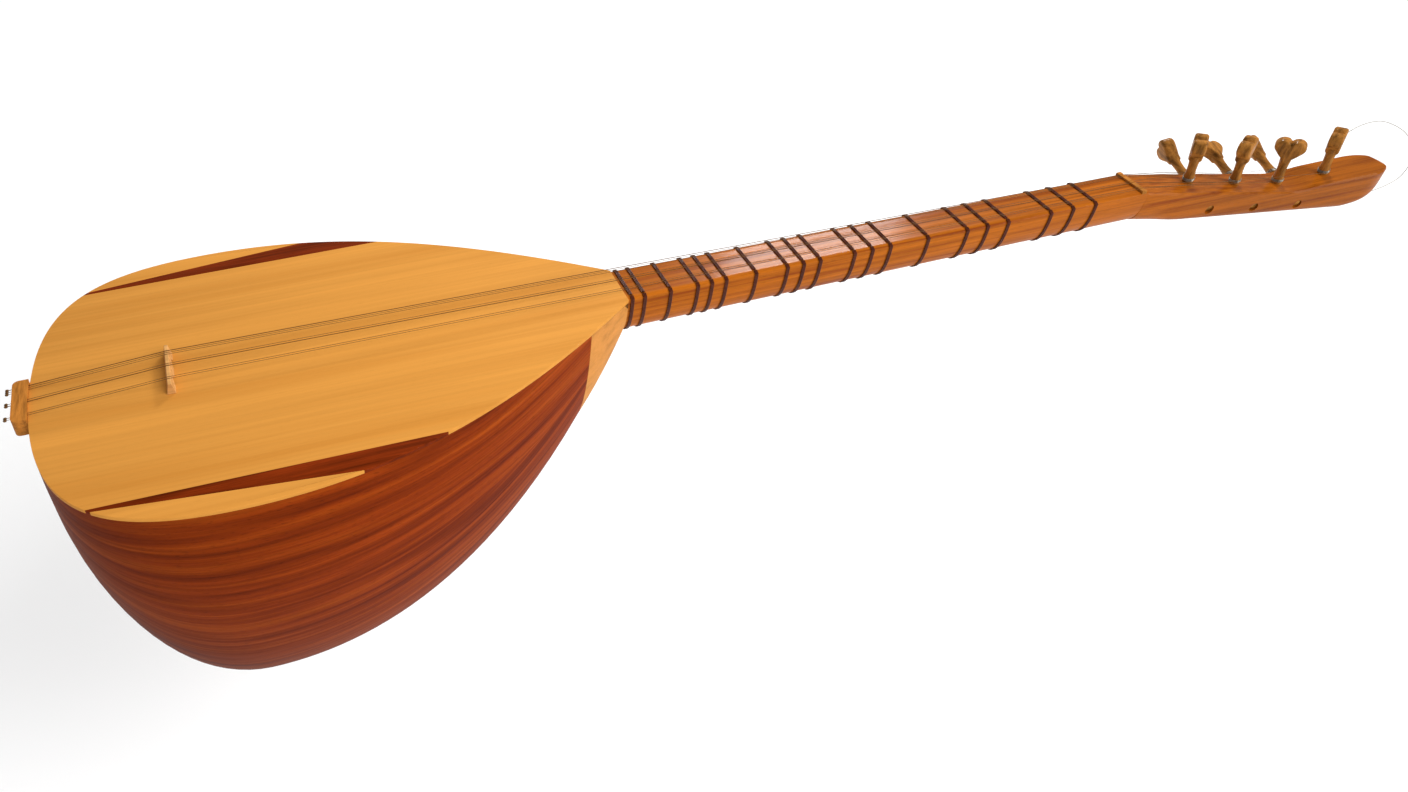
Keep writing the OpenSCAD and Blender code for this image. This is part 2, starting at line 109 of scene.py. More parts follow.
class BaglamaColours(bpy.types.PropertyGroup):
    bowl_dark: colour("651f03", "Bowl streaks", "Dark streaks in the staves")
    bowl: colour("8c3406", "Bowl", "The staves' wood")
    bowl_light: colour("a0440b", "Bowl light", "Light bands in the staves")
    spruce: colour("d49140", "Spruce", "The soundboard")
    spruce_line: colour("cb8738", "Spruce lines", "Late wood in the soundboard")
    neck: colour("b26014", "Neck", "The neck and head")
    neck_dark: colour("924410", "Neck streaks", "Dark grain in the neck and head")
    pale: colour("c88640", "Pale wood", "The blocks at the neck and tail")
    wedge: colour("742808", "Wedges", "The dark wedges in the soundboard")
    boxwood: colour("d09a5c", "Boxwood", "The bridge and nut")
    tail: colour("b4722e", "Tailpiece", "The tailpiece")
    peg: colour("a66e30", "Pegs", "The pegs")
    nylon: colour("54220c", "Nylon", "The tied frets")
    # The plain strings' dark brown is painted reflection and shade
    string: colour("805c34", "Strings", "The plain strings")
    bright: colour("a39a8c", "Bright wire", "The windings and the loose wire end")
    bronze: colour("7c5226", "Bronze", "The wound strings")


def sizes():
    return bpy.context.scene.baglama_sizes


def colours():
    return bpy.context.scene.baglama_colours


# ---- sizes read from the frame ----
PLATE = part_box("soundboard_plate")
TAIL_X = PLATE[0].x
JOINT_X = PLATE[1].x
BOARD_Z = PLATE[1].z
BOARD_TH = PLATE[1].z - PLATE[0].z
BODY_LEN = JOINT_X - TAIL_X
HALF_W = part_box("soundboard_sliver_far")[1].y
BODY_D = BOARD_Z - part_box("bowl_stave_5")[0].z
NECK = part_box("neck")
NECK_W_BODY = NECK[1].y - NECK[0].y
NECK_D_BODY = BOARD_Z - NECK[0].z
NECK_D_NUT = BOARD_Z
# The nut stands 0.4 mm in from each side of the neck
NECK_W_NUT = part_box("nut")[1].y * 2 + 0.8 * MM
NECK_END = NECK[1].x
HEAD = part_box("peghead")
STAVE_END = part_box("bowl_stave_1")[1].x - TAIL_X
# The staves start this far from the tail's very end
TAIL_FLAT = 1.5 * MM
STAVE_TH = 3 * MM
STAVES = 9
STAVE_ANGLE = 180 / STAVES
# Exponents of the sections: 1 is an ellipse, less is squarer
BOWL_ROUND = 0.92
NECK_ROUND = 0.71
# The wedges' wide ends lie this far outside the plate, and their points this far along the body
WEDGE_START = 2.4 * MM
WEDGE_FROM = 0.1 * BODY_LEN
WEDGE_TO = 0.485 * BODY_LEN
PLATE_HALF = PLATE[1].y
FRETS = 20
STRINGS = 7
WOUND_STRINGS = (3, 7)
JOINTS = {joint["name"]: joint for joint in frame["record"]["behaviour"]["joints"]}

# Outline of the soundboard and profile of the keel, as Bezier controls: distance from the tail, and size
PLAN_TAIL = [(0, 0), (0, 0.78 * HALF_W), (0.1 * BODY_LEN, HALF_W), (0.314 * BODY_LEN, HALF_W)]
PLAN_NECK = [
    (0.314 * BODY_LEN, HALF_W),
    (0.545 * BODY_LEN, HALF_W),
    (0.75 * BODY_LEN, 0.715 * HALF_W),
    (BODY_LEN, NECK_W_BODY / 2 + 0.6 * MM),
]
KEEL_TAIL = [
    (0, 0.33 * BODY_D),
    (0.03 * BODY_LEN, 0.52 * BODY_D),
    (0.11 * BODY_LEN, BODY_D),
    (0.29 * BODY_LEN, BODY_D),
]
KEEL_NECK = [
    (0.29 * BODY_LEN, BODY_D),
    (0.515 * BODY_LEN, BODY_D),
    (0.81 * BODY_LEN, 0.795 * BODY_D),
    (BODY_LEN, NECK_D_BODY),
]


def bezier(points, s):
    """The point at s, from 0 to 1, on a cubic curve."""
    a, b, c, d = (Vector(p) for p in points)
    return (1 - s) ** 3 * a + 3 * s * (1 - s) ** 2 * b + 3 * s * s * (1 - s) * c + s**3 * d


def read(first, second, t):
    """The height of a two-part curve at distance t from the tail."""
    points = first if t < first[3][0] else second
    low, high = 0.0, 1.0
    for _ in range(24):
        middle = (low + high) / 2
        if bezier(points, middle).x > t:
            high = middle
        else:
            low = middle
    return bezier(points, (low + high) / 2).y


def half_at(t):
    """Half the soundboard's width at distance t from the tail."""
    return read(PLAN_TAIL, PLAN_NECK, t)


def keel_at(t):
    """The bowl's depth under the soundboard's top at distance t from the tail."""
    return read(KEEL_TAIL, KEEL_NECK, t)


def mix(a, b, s):
    """The value a share s of the way from a to b."""
    return a + (b - a) * s


def smooth(s):
    """An even step from 0 to 1 that starts and ends level."""
    s = min(1.0, max(0.0, s))
    return s * s * (3 - 2 * s)


def between(points, x):
    """The height at x of a line through points."""
    for (x0, y0), (x1, y1) in zip(points, points[1:]):
        if x <= x1:
            return mix(y0, y1, max(0.0, (x - x0) / (x1 - x0)))
    return points[-1][1]


def power(value, exponent):
    """A power that keeps its value's sign."""
    return math.copysign(abs(value) ** exponent, value)


def skin(x, half, depth, degrees, exponent=BOWL_ROUND):
    """A point on a body section: 0 degrees is the near edge, 90 the keel, 180 the far edge."""
    a = math.radians(degrees)
    return Vector((
        TAIL_X + x,
        -half * power(math.cos(a), exponent),
        BOARD_Z - BOARD_TH - (depth - BOARD_TH) * abs(math.sin(a)) ** exponent,
    ))


# ---- meshes ----
def keep(name, bm, rounded=True, crease=38):
    """Turns a bmesh into an object at the origin, smooth but for edges sharper than the crease."""
    for edge in bm.edges:
        edge.smooth = len(edge.link_faces) == 2 and edge.calc_face_angle(0) < math.radians(crease)
    for face in bm.faces:
        face.smooth = rounded
    mesh = bpy.data.meshes.new(name)
    bm.to_mesh(mesh)
    bm.free()
    thing = bpy.data.objects.new(name, mesh)
    bpy.context.collection.objects.link(thing)
    return thing


def surface(name, across, along, place, uv=None, close=False, caps=False, wall=0.0):
    """A grid bent into shape: place(u, v) gives a point for u and v from 0 to 1."""
    bm = bmesh.new()
    bmesh.ops.create_grid(bm, x_segments=across, y_segments=along, size=0.5)
    layer = bm.loops.layers.uv.new("along")
    for face in bm.faces:
        for loop in face.loops:
            u, v = loop.vert.co.x + 0.5, loop.vert.co.y + 0.5
            loop[layer].uv = uv(u, v) if uv else (u, v)
    for vert in bm.verts:
        vert.co = place(vert.co.x + 0.5, vert.co.y + 0.5)
    if close:
        bmesh.ops.remove_doubles(bm, verts=bm.verts, dist=1e-6)
    if caps:
        bmesh.ops.holes_fill(bm, edges=[e for e in bm.edges if e.is_boundary], sides=0)
    bmesh.ops.recalc_face_normals(bm, faces=bm.faces)
    if wall:
        middle = bm.faces[:][len(bm.faces) // 2]
        if middle.normal.dot(middle.calc_center_median() - Vector((middle.verts[0].co.x, 0, 0))) < 0:
            bmesh.ops.reverse_faces(bm, faces=bm.faces)
        bmesh.ops.solidify(bm, geom=bm.faces[:], thickness=wall)
        bmesh.ops.recalc_face_normals(bm, faces=bm.faces)
    return keep(name, bm)


def tube(name, path, radius, sides=8, closed=False, up=Vector((0.013, 1, 0.017))):
    """A round rod along a list of points. Its UV map runs in metres along it, and once round it."""
    count = len(path)
    lengths = [0.0]
    for a, b in zip(path, path[1:] + path[:1]):
        lengths.append(lengths[-1] + (b - a).length)
    steps = count if closed else count - 1

    def ring(j):
        here = path[j % count]
        if closed:
            way = path[(j + 1) % count] - path[j - 1 if j % count else -1]
        else:
            way = path[min(j + 1, count - 1)] - path[max(j - 1, 0)]
        way.normalize()
        side = way.cross(up).normalized()
        return here, side, way.cross(side)

    rings = [ring(j) for j in range(steps + 1)]

    def place(u, v):
        here, side, top = rings[round(v * steps)]
        a = 2 * math.pi * u
        return here + (side * math.cos(a) + top * math.sin(a)) * radius

    def uv(u, v):
        return (lengths[round(v * steps)], u)

    return surface(name, sides, steps, place, uv, close=True, caps=not closed)


def rounded_copy(name, node_name, width):
    """A CAD node's own shape with its edges rounded."""
    bm = bmesh.new()
    bm.from_mesh(frame["nodes"][node_name].data)
    bmesh.ops.remove_doubles(bm, verts=bm.verts, dist=1e-6)
    bmesh.ops.dissolve_limit(bm, angle_limit=math.radians(1), verts=bm.verts, edges=bm.edges)
    thing = keep(name, bm, rounded=False)
    bevel = thing.modifiers.new("rounded", "BEVEL")
    bevel.width = width
    bevel.segments = 2
    bevel.limit_method = "ANGLE"
    bevel.angle_limit = math.radians(35)
    bevel.harden_normals = False
    return thing


def finish_piece(thing, body, node_name, slot, material):
    """Gives a piece its material and its body, and hides the CAD node it stands for."""
    thing.data.materials.clear()
    thing.data.materials.append(material)
    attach(thing, body)
    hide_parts(node_name)


def dress(node_name, material):
    """Gives a CAD node that stays its material."""
    data = frame["nodes"][node_name].data
    data.materials.clear()
    data.materials.append(material)


def drill(thing, holes):
    """Cuts round holes, each a matrix, a radius and a length, and keeps the cut mesh."""
    for k, (place, radius, length) in enumerate(holes):
        bm = bmesh.new()
        bmesh.ops.create_cone(
            bm, cap_ends=True, segments=48, radius1=radius, radius2=radius, depth=length, matrix=place
        )
        bit = keep(f"bit_{k}", bm)
        cut = thing.modifiers.new("hole", "BOOLEAN")
        cut.operation = "DIFFERENCE"
        cut.solver = "EXACT"
        cut.object = bit
        done = bpy.data.meshes.new_from_object(thing.evaluated_get(bpy.context.evaluated_depsgraph_get()))
        thing.modifiers.clear()
        thing.data = done
        bpy.data.objects.remove(bit)
    bm = bmesh.new()
    bm.from_mesh(thing.data)
    name = thing.name
    bpy.data.objects.remove(thing)
    return keep(name, bm)


def lathe(bm, profile):
    """Adds a turned shape to a bmesh: a profile of radius and height spun round the Z axis."""
    verts = [bm.verts.new((radius, 0, height)) for radius, height in profile]
    edges = [bm.edges.new(pair) for pair in zip(verts, verts[1:])]
    bmesh.ops.spin(
        bm, geom=verts + edges, cent=(0, 0, 0), axis=(0, 0, 1),
        angle=2 * math.pi, steps=40, use_merge=True,
    )
    bmesh.ops.remove_doubles(bm, verts=bm.verts, dist=1e-6)
    bmesh.ops.recalc_face_normals(bm, faces=bm.faces)


# ---- materials ----
RAMP = "ShaderNodeValToRGB"
PORE_LENGTH = 6 * MM
PORE_WIDTH = 0.5 * MM


def add(tree, kind, links=None, stops=(), **settings):
    """Adds a node, sets its properties or inputs by name, fills its colour ramp, and links its inputs."""
    made = tree.nodes.new(kind)
    for key, value in settings.items():
        if hasattr(made, key):
            setattr(made, key, value)
        else:
            made.inputs[key.replace("_", " ")].default_value = value
    while stops and len(made.color_ramp.elements) < len(stops):
        made.color_ramp.elements.new(0.5)
    for element, (place, value) in zip(made.color_ramp.elements if stops else (), stops):
        element.position = place
        element.color = (*value, 1)
    for key, socket in (links or {}).items():
        tree.links.new(socket, made.inputs[key])
    return made


def grey(value):
    """A neutral colour."""
    return (value, value, value)


def shade(base, factor):
    """A colour made darker or lighter, and no brighter than white."""
    return tuple(min(1, channel * factor) for channel in base)


def new_material(name):
    """An empty material with its shader."""
    material = bpy.data.materials.new(name)
    material.use_nodes = True
    tree = material.node_tree
    tree.nodes.clear()
    shader = tree.nodes.new("ShaderNodeBsdfPrincipled")
    output = tree.nodes.new("ShaderNodeOutputMaterial")
    tree.links.new(shader.outputs["BSDF"], output.inputs["Surface"])
    return material, tree, shader


def grain(tree, along, coarse, fine, shift=(0, 0, 0), detail=3.0, axis=0):
    """Noise drawn out along the grain's axis: coarse and fine are its sizes in metres."""
    scale = [1 / coarse if i == axis else 1 / fine for i in range(3)]
    mapping = add(tree, "ShaderNodeMapping", {"Vector": along}, Scale=scale, Location=shift)
    return add(
        tree, "ShaderNodeTexNoise", {"Vector": mapping.outputs["Vector"]},
        Scale=1.0, Detail=detail, Roughness=0.55, Distortion=0.15,
    ).outputs["Fac"]


def wood(name, dark, base, light, streak, length, line, line_depth, pores, rough, coat,
         on_uv=False, bump=0.15, axis=0, deeper=()):
    """Varnished wood: broad streaks, fine growth lines and pores that all run along the grain.

    Streak, length and line are the sizes of its figure. Deeper lists an axis, where a darkening starts and
    ends along it, and how dark it leaves the wood at its start; on the bowl this darkening is painted shade.
    """
    if name in bpy.data.materials:
        return bpy.data.materials[name]
    material, tree, shader = new_material(name)
    if on_uv:
        along = add(tree, "ShaderNodeUVMap", uv_map="along").outputs["UV"]
    else:
        along = add(tree, "ShaderNodeTexCoord").outputs["Object"]
    broad = grain(tree, along, length, streak, (0, 0, 0), 4.0, axis)
    fine = grain(tree, along, length / 3, line, (3.1, 1.7, 0.4), 2.0, axis)
    pore = grain(tree, along, PORE_LENGTH, PORE_WIDTH, (7.3, 0.2, 5.9), 1.0, axis)
    tone = add(tree, RAMP, {"Fac": broad}, [(0.32, dark), (0.5, base), (0.68, light)])
    layers = []
    for letter, start, end, dark_part in deeper:
        point = add(tree, "ShaderNodeTexCoord").outputs["Object"]
        place = add(tree, "ShaderNodeSeparateXYZ", {"Vector": point}).outputs[letter]
        part = add(tree, "ShaderNodeMapRange", {"Value": place}, From_Min=start, From_Max=end)
        darkening = [(0, grey(dark_part)), (1, grey(1))]
        layers.append(add(tree, RAMP, {"Fac": part.outputs["Result"]}, darkening))
    layers.append(add(tree, RAMP, {"Fac": fine}, [(0.35, grey(1 - line_depth)), (0.6, grey(1))]))
    layers.append(add(tree, RAMP, {"Fac": pore}, [(0.3, grey(1 - pores)), (0.4, grey(1))]))
    colour_out = tone.outputs["Color"]
    for layer in layers:
        # A Mix node's two colours are its inputs 6 and 7, and its mixed colour is output 2
        darker = add(tree, "ShaderNodeMix", {6: colour_out, 7: layer.outputs["Color"]},
                     data_type="RGBA", blend_type="MULTIPLY", Factor=1)
        colour_out = darker.outputs[2]
    tree.links.new(colour_out, shader.inputs["Base Color"])
    gloss = add(tree, RAMP, {"Fac": fine}, [(0.3, grey(min(1.0, rough + 0.08))), (0.7, grey(rough))])
    tree.links.new(gloss.outputs["Color"], shader.inputs["Roughness"])
    relief = add(tree, "ShaderNodeBump", {"Height": pore}, Strength=bump, Distance=0.1 * MM)
    tree.links.new(relief.outputs["Normal"], shader.inputs["Normal"])
    shader.inputs["Coat Weight"].default_value = coat
    shader.inputs["Coat Roughness"].default_value = 0.12
    shader.inputs["Specular IOR Level"].default_value = 0.25
    shader.inputs["IOR"].default_value = 1.15
    # The reflections' warm tint is painted warm light
    shader.inputs["Specular Tint"].default_value = (*linear(WARM_LIGHT_TINT), 1)
    return material


def bowl_wood():
    # Mahogany staves, scraped and brushed with thin varnish: long red-brown bands that follow each stave,
    # and painted shade that darkens them towards the tail and the keel, where less light falls
    c = colours()
    darkening = (
        ("X", TAIL_X, TAIL_X + 0.5 * BODY_LEN, 0.62),
        ("Z", BOARD_Z - BODY_D, BOARD_Z - 0.3 * BODY_D, 0.62),
    )
    return wood("varnished_mahogany_staves", c.bowl_dark, c.bowl, c.bowl_light,
                streak=9 * MM, length=260 * MM, line=1.6 * MM, line_depth=0.26, pores=0.3,
                rough=0.5, coat=0.0, on_uv=True, bump=0.2, deeper=darkening)


def spruce_wood():
    # Quartered spruce, planed: straight fine late-wood lines, drawn 2.4 mm apart so that they show
    c = colours()
    return wood("varnished_spruce_top", c.spruce_line, c.spruce, shade(c.spruce, 1.12),
                streak=26 * MM, length=700 * MM, line=2.4 * MM, line_depth=0.06, pores=0.05,
                rough=0.5, coat=0.0, bump=0.06)


def neck_wood():
    # Hornbeam, turned orange by glossy varnish: tight grain along the neck, and darker from just before the
    # nut out along the head
    c = colours()
    darkening = (("X", 90 * MM, -20 * MM, 0.7),)
    return wood("glossy_orange_neck_wood", c.neck_dark, c.neck, shade(c.neck, 1.25),
                streak=4 * MM, length=180 * MM, line=1.2 * MM, line_depth=0.16, pores=0.2,
                rough=0.3, coat=0.08, bump=0.1, deeper=darkening)


def pale_wood():
    # Limewood under varnish: pale and almost without figure
    c = colours()
    return wood("pale_limewood_block", shade(c.pale, 0.82), c.pale, shade(c.pale, 1.1),
                streak=8 * MM, length=120 * MM, line=1.5 * MM, line_depth=0.06, pores=0.06,
                rough=0.45, coat=0.0)


def wedge_wood():
    # Dark stained hardwood, flush with the spruce
    c = colours()
    return wood("dark_stained_wedge_wood", shade(c.wedge, 0.6), c.wedge, shade(c.wedge, 1.4),
                streak=3 * MM, length=90 * MM, line=0.9 * MM, line_depth=0.2, pores=0.2,
                rough=0.5, coat=0.0)


def boxwood():
    # Boxwood, rubbed smooth: dense, waxy and light
    c = colours()
    return wood("rubbed_boxwood", shade(c.boxwood, 0.8), c.boxwood, shade(c.boxwood, 1.15),
                streak=3 * MM, length=30 * MM, line=0.8 * MM, line_depth=0.08, pores=0.06,
                rough=0.45, coat=0.0)


def tail_wood():
    # Honey-brown beech under thin varnish, with short dark flecks across the instrument
    c = colours()
    return wood("varnished_beech_tailpiece", shade(c.tail, 0.6), c.tail, shade(c.tail, 1.2),
                streak=3 * MM, length=20 * MM, line=0.8 * MM, line_depth=0.14, pores=0.16,
                rough=0.45, coat=0.05, axis=1)


def peg_wood(axis):
    # Oiled olive-brown pegs, mottled where fingers have worn them, with the grain along the shaft
    c = colours()
    return wood(f"oiled_peg_wood_{'xyz'[axis]}", shade(c.peg, 0.42), c.peg, shade(c.peg, 1.4),
                streak=4 * MM, length=22 * MM, line=0.9 * MM, line_depth=0.22, pores=0.2,
                rough=0.42, coat=0.1, bump=0.2, axis=axis)


def nylon():
    # Dyed monofilament: smooth, with dye that took unevenly, and slightly see-through at its edges
    name = "dyed_fret_nylon"
    if name in bpy.data.materials:
        return bpy.data.materials[name]
    material, tree, shader = new_material(name)
    along = add(tree, "ShaderNodeTexCoord").outputs["Object"]
    patches = grain(tree, along, 3 * MM, 3 * MM)
    base = colours().nylon
    dye = add(tree, RAMP, {"Fac": patches}, [(0.3, shade(base, 0.7)), (0.7, shade(base, 1.3))])
    tree.links.new(dye.outputs["Color"], shader.inputs["Base Color"])
    shader.inputs["Roughness"].default_value = 0.4
    shader.inputs["IOR"].default_value = 1.3
    shader.inputs["Subsurface Weight"].default_value = 0.05
    shader.inputs["Subsurface Scale"].default_value = 0.4 * MM
    return material


def string_metal(name, base, pitch):
    # Drawn steel, or bronze wire wound round steel: one band of colour is one turn
    if name in bpy.data.materials:
        return bpy.data.materials[name]
    material, tree, shader = new_material(name)
    along = add(tree, "ShaderNodeTexCoord").outputs["Object"]
    mapping = add(tree, "ShaderNodeMapping", {"Vector": along}, Scale=(1 / pitch, 0, 0))
    turns = add(tree, "ShaderNodeTexWave", {"Vector": mapping.outputs["Vector"]}, Scale=1.0, Distortion=0.0)
    bands = add(tree, RAMP, {"Fac": turns.outputs["Fac"]}, [(0.1, shade(base, 0.6)), (0.6, base)])
    tree.links.new(bands.outputs["Color"], shader.inputs["Base Color"])
    shader.inputs["Metallic"].default_value = 0.7
    shader.inputs["Roughness"].default_value = 0.4
    return material


def plain_string():
    # Drawn steel coloured dark brown, in soft patches 9 mm apart: painted reflection of the warm wood and
    # painted shade
    return string_metal("tarnished_steel_wire", colours().string, 9 * MM)


def pale_string():
    # The same steel wire in its own bright colour, where it is wound and where its end hangs free
    return string_metal("bright_steel_wire", colours().bright, 9 * MM)


def wound_string():
    # Real turns are 0.1 mm apart; drawn 0.8 mm apart so that they show
    return string_metal("bronze_wound_wire", colours().bronze, 0.8 * MM)


# ---- operators ----
class BAGLAMA_OT_bowl(bpy.types.Operator):
    """Build the nine staves, the tail cap and the blocks inside the bowl"""

    bl_idname = "baglama.bowl"
    bl_label = "Bowl"

    def execute(self, context):
        stations = 44
        # How wide a stave's grain is drawn at the bowl's widest
        girth = 70 * MM

        def distance(v):
            # Stations lie closer together where the tail is round
            return TAIL_FLAT + (STAVE_END - TAIL_FLAT) * v**1.4

        places = [distance(j / stations) for j in range(stations + 1)]
        sections = [(half_at(t), keel_at(t)) for t in places]
        for i in range(STAVES):
            def place(u, v, i=i):
                half, depth = sections[round(v * stations)]
                return skin(distance(v), half, depth, (i + u) * STAVE_ANGLE)

            def uv(u, v, i=i):
                # Each stave takes its own stretch of the grain
                wide = girth * min(1.0, sections[round(v * stations)][0] / HALF_W + 0.25)
                return (distance(v) + 0.37 * i, (u - 0.5) * wide + 0.61 * i)

            stave = surface(f"stave_{i + 1}", 12, stations, place, uv, wall=STAVE_TH)
            finish_piece(stave, "body", f"bowl_stave_{i + 1}", "bowl_wood", bowl_wood())

        cap = rounded_copy("tail_veneer", "tail_cap", 0.2 * MM)
        finish_piece(cap, "body", "tail_cap", "dark_wood", wedge_wood())
        dress("tail_block", pale_wood())
        self.neck_block()
        return {"FINISHED"}

    def neck_block(self):
        """The pale block, let in under the staves and then flush with them, out to the neck."""
        inside = 0.9 * STAVE_END
        rings = [(inside, BOWL_ROUND, STAVE_TH), (STAVE_END, BOWL_ROUND, STAVE_TH)]
        steps = 10
        for k in range(steps + 1):
            s = k / steps
            rings.append((mix(STAVE_END, BODY_LEN, s), mix(BOWL_ROUND, NECK_ROUND, s), 0))

        def place(u, v):
            t, exponent, less = rings[round(v * (len(rings) - 1))]
            return skin(t, half_at(t) - less, keel_at(t) - less, 180 * u, exponent)

        block = surface("neck_block_wood", 40, len(rings) - 1, place)
        bm = bmesh.new()
        bm.from_mesh(block.data)
        bmesh.ops.holes_fill(bm, edges=[e for e in bm.edges if e.is_boundary], sides=0)
        bmesh.ops.recalc_face_normals(bm, faces=bm.faces)
        bm.to_mesh(block.data)
        bm.free()
        finish_piece(block, "body", "neck_block", "pale_wood", pale_wood())


class BAGLAMA_OT_soundboard(bpy.types.Operator):
    """Build the soundboard's plate, wedges, slivers and brace"""

    bl_idname = "baglama.soundboard"
    bl_label = "Soundboard"

    def execute(self, context):
        start = Vector((TAIL_X + WEDGE_FROM, PLATE_HALF + WEDGE_START, 0))
        end = Vector((TAIL_X + WEDGE_TO, half_at(WEDGE_TO), 0))
        slope = end - start
        self.part("top_plate", "soundboard_plate", [
            (Vector((0, PLATE_HALF, 0)), Vector((0, 1, 0))),
            (Vector((0, -PLATE_HALF, 0)), Vector((0, -1, 0))),
        ])
        for word, side in (("near", -1), ("far", 1)):
            line = Vector((start.x, side * start.y, 0))
            outward = Vector((-slope.y, side * slope.x, 0)).normalized()
            inner = (Vector((0, side * PLATE_HALF, 0)), Vector((0, -side, 0)))
            self.part(f"top_wedge_{word}", f"soundboard_wedge_{word}", [inner, (line, outward)])
            self.part(f"top_sliver_{word}", f"soundboard_sliver_{word}", [inner, (line, -outward)])
        dress("soundboard_brace", spruce_wood())
        return {"FINISHED"}

    def part(self, name, node_name, cuts):
        """The board's outline, cut along lines, given its thickness and rounded."""
        bm = bmesh.new()
        steps = 44
        side = [bezier(PLAN_TAIL, k / steps) for k in range(steps)]
        side += [bezier(PLAN_NECK, k / steps) for k in range(steps + 1)]
        outline = [(TAIL_X + p.x, p.y) for p in side] + [(TAIL_X + p.x, -p.y) for p in side[:0:-1]]
        bm.faces.new([bm.verts.new((x, y, BOARD_Z)) for x, y in outline])
        for point, outward in cuts:
            geometry = bm.verts[:] + bm.edges[:] + bm.faces[:]
            bmesh.ops.bisect_plane(
                bm, geom=geometry, plane_co=point, plane_no=outward, clear_outer=True, dist=1e-7
            )
        made = bmesh.ops.extrude_face_region(bm, geom=bm.faces[:])
        lowered = [v for v in made["geom"] if isinstance(v, bmesh.types.BMVert)]
        bmesh.ops.translate(bm, verts=lowered, vec=(0, 0, -BOARD_TH))
        bmesh.ops.recalc_face_normals(bm, faces=bm.faces)
        sharp = [e for e in bm.edges if e.calc_face_angle(0) > math.radians(60)]
        rim = [e for e in sharp if abs(e.verts[0].co.z - e.verts[1].co.z) < 1e-6]
        bmesh.ops.bevel(
            bm, geom=rim, offset=sizes().board_round, segments=2, profile=0.5, affect="EDGES", material=-1
        )
        slot, material = ("dark_wood", wedge_wood()) if "wedge" in name else ("spruce", spruce_wood())
        finish_piece(keep(name, bm), "body", node_name, slot, material)


# A fret's clearance from the neck, and how far its knot lies under the neck's face
FRET_GAP = 0.1 * MM
KNOT_DROP = 3.2 * MM


def neck_part(x):
    """How far x lies from the nut, 0, to the body, 1."""
    return x / JOINT_X


def neck_half(x):
    """Half the neck's width at x."""
    return mix(NECK_W_NUT, NECK_W_BODY, neck_part(x)) / 2


def neck_deep(x):
    """The neck's depth at x."""
    return mix(NECK_D_NUT, NECK_D_BODY, neck_part(x))


def neck_outline(x, grow=0.0, count=72, corner=1.2 * MM):
    """Points round the neck at x: flat on top with small round corners, a U below."""
    half, deep = neck_half(x) + grow, neck_deep(x) + grow
    under = 3 * count // 4
    points = []
    for k in range(under + 1):
        a = math.pi * k / under
        y = -half * power(math.cos(a), NECK_ROUND)
        z = -deep * abs(math.sin(a)) ** NECK_ROUND
        points.append(Vector((x, y, BOARD_Z + min(z, -corner))))
    for k in range(count - under):
        s = k / (count - under - 1)
        y = mix(half, -half, s)
        near = min(1.0, (half - abs(y)) / corner)
        z = grow - corner * (1 - math.sqrt(max(0.0, 1 - (1 - near) ** 2)))
        points.append(Vector((x, y, BOARD_Z + z)))
    return points


class BAGLAMA_OT_neck(bpy.types.Operator):
    """Build the neck and its tied frets"""

    bl_idname = "baglama.neck"
    bl_label = "Neck and frets"

    def execute(self, context):
        steps = 24
        outlines = [neck_outline(mix(JOINT_X, NECK_END, j / steps)) for j in range(steps + 1)]
        count = len(outlines[0])

        def place(u, v):
            return outlines[round(v * steps)][round(u * count) % count]

        neck = surface("neck_wood", count, steps, place, close=True, caps=True)
        finish_piece(neck, "body", "neck", "neck_wood", neck_wood())
        for number in range(1, FRETS + 1):
            self.fret(number)
        return {"FINISHED"}

    def fret(self, number):
        """One tied fret: turns of nylon side by side, and a knot at the neck's edge."""
        node_name = f"fret_{number:02d}"
        low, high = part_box(node_name)
        nylon_d = sizes().nylon
        turns = sizes().fret_turns
        middle = (low.x + high.x) / 2
        for k in range(turns):
            x = middle + (k - (turns - 1) / 2) * nylon_d
            path = neck_outline(x, nylon_d / 2 + FRET_GAP, 60)
            turn = tube(f"{node_name}_turn_{k + 1}", path, nylon_d / 2, closed=True)
            finish_piece(turn, node_name, node_name, "fret_nylon", nylon())
        bm = bmesh.new()
        bmesh.ops.create_uvsphere(bm, u_segments=12, v_segments=8, radius=0.8 * nylon_d)
        bmesh.ops.scale(bm, verts=bm.verts, vec=(1.5, 0.7, 1.0))
        knot = (middle, neck_half(middle) + 0.35 * nylon_d, BOARD_Z - KNOT_DROP)
        bmesh.ops.translate(bm, verts=bm.verts, vec=knot)
        finish_piece(keep(f"{node_name}_knot", bm), node_name, node_name, "fret_nylon", nylon())


# ---- head ----
FACE_SLOPE = math.tan(math.radians(10.9))
BACK_SLOPE = math.tan(math.radians(7.6))
HEAD_START = HEAD[0].x
HEAD_END = HEAD[1].x
HEAD_HALF = HEAD[1].y
# The face slopes as far as this, and then runs level
LEVEL_X = 0.62 * (HEAD_END - HEAD_START)
# The face's rise past there: distance and height
FACE_RISE = [(0, 0), (14 * MM, -0.6 * MM), (32 * MM, 1 * MM), (98 * MM, 2 * MM), (102 * MM, 0.5 * MM)]
FACE_DROP = 1.2 * MM
BACK_DROP = 0.5 * MM
# The back turns up to the tip over this length, on an arc this long and this high
TIP_LENGTH = 40 * MM
TIP_ARC = (36 * MM, 14 * MM)
# The neck's section turns into the head's over this length, and its width over this
SECTION_CHANGE = 45 * MM
WIDTH_CHANGE = 34 * MM
TIP_ROUND = 26 * MM
HEAD_ROUND = 0.45
HEAD_ROUND_HEIGHT = 14 * MM
PEG_D = 7.5 * MM
BORE_GAP = 0.05 * MM
BORE_LENGTH = 130 * MM
PEG_LEAN = math.radians(8)
SIDE_LEAN = math.radians(9)
SIDE_LIFT = math.radians(14)
# How far each peg's paddle is turned at rest, in degrees
FRONT_TURN = (44, 30, -50, 33)
SIDE_TURN = (70, 15, 60)


